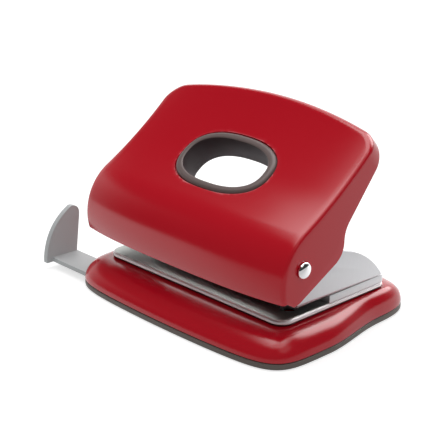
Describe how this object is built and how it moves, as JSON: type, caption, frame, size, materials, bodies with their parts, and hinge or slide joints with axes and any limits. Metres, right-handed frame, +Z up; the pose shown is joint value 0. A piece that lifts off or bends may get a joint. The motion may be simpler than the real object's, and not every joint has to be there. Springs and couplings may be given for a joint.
{
  "type": "two-hole punch",
  "caption": "Desk hole punch with a hollow sloping handle on two front pivots, a finger hole, a die plate, a chip tray in the base and a sliding paper guide",
  "frame": {"origin": "On the table, under the base, midway between its sides and just in front of its middle; it lies on the tray's flat underside.", "axes": "+X to the right, along the row of two holes; +Y to the back, the way that paper is pushed in; +Z up."},
  "size_m": [0.1333, 0.0863, 0.0784],
  "materials": {
    "red_paint": "satin",
    "soft_plastic": "matte",
    "polished_steel": "polished",
    "zinc_steel": "satin",
    "dark_steel": "satin",
    "chrome": "polished",
    "nylon": "matte",
    "grey_plastic": "satin"
  },
  "bodies": {
    "base": {"base_cover": "red_paint", "die_plate": "polished_steel", "paper_stop": "zinc_steel", "frame": "zinc_steel", "frame_rivet_front_left": "polished_steel", "frame_rivet_front_right": "polished_steel", "frame_rivet_rear_left": "polished_steel", "frame_rivet_rear_right": "polished_steel", "punch_guide_left": "dark_steel", "punch_guide_right": "dark_steel", "pivot_pin_left": "chrome", "pivot_pin_right": "chrome", "pivot_washer_left": "nylon", "pivot_washer_right": "nylon", "guide_channel": "zinc_steel", "channel_screw_left": "dark_steel", "channel_screw_right": "dark_steel"},
    "handle": {"handle_shell": "red_paint", "finger_hole_rim": "soft_plastic", "inner_lever": "zinc_steel", "presser_bar": "polished_steel", "lever_screw_left": "dark_steel", "lever_screw_right": "dark_steel"},
    "punch_left": {"punch_left": "polished_steel", "spring_clip_left": "dark_steel", "punch_spring_left": "polished_steel"},
    "punch_right": {"punch_right": "polished_steel", "spring_clip_right": "dark_steel", "punch_spring_right": "polished_steel"},
    "guide": {"paper_guide": "grey_plastic"},
    "tray": {"chip_tray": "soft_plastic"}
  },
  "joints": [
    {"name": "handle_press", "type": "hinge", "parent": "base", "child": "handle", "pos_m": [0, -0.023, 0.0342], "axis": [-1, 0, 0], "range_deg": [0, 31], "stiffness_Nm_per_rad": 0.25, "springref_deg": -27.5},
    {"name": "punch_left_slide", "type": "slide", "parent": "base", "child": "punch_left", "axis": [0, 0, -1], "range_m": [0, 0.00433], "deforming": ["punch_spring_left"]},
    {"name": "punch_right_slide", "type": "slide", "parent": "base", "child": "punch_right", "axis": [0, 0, -1], "range_m": [0, 0.00433], "deforming": ["punch_spring_right"]},
    {"name": "guide_slide", "type": "slide", "parent": "base", "child": "guide", "axis": [-1, 0, 0], "range_m": [-0.0155, 0.0135]},
    {"name": "tray_hinge", "type": "hinge", "parent": "base", "child": "tray", "pos_m": [0, 0.0454, 0.00255], "axis": [1, 0, 0], "range_deg": [0, 80]}
  ],
  "couplings": [
    {"joint": "punch_left_slide", "follows": "handle_press", "m_per_rad": 0.0079756},
    {"joint": "punch_right_slide", "follows": "handle_press", "m_per_rad": 0.0079756}
  ]
}
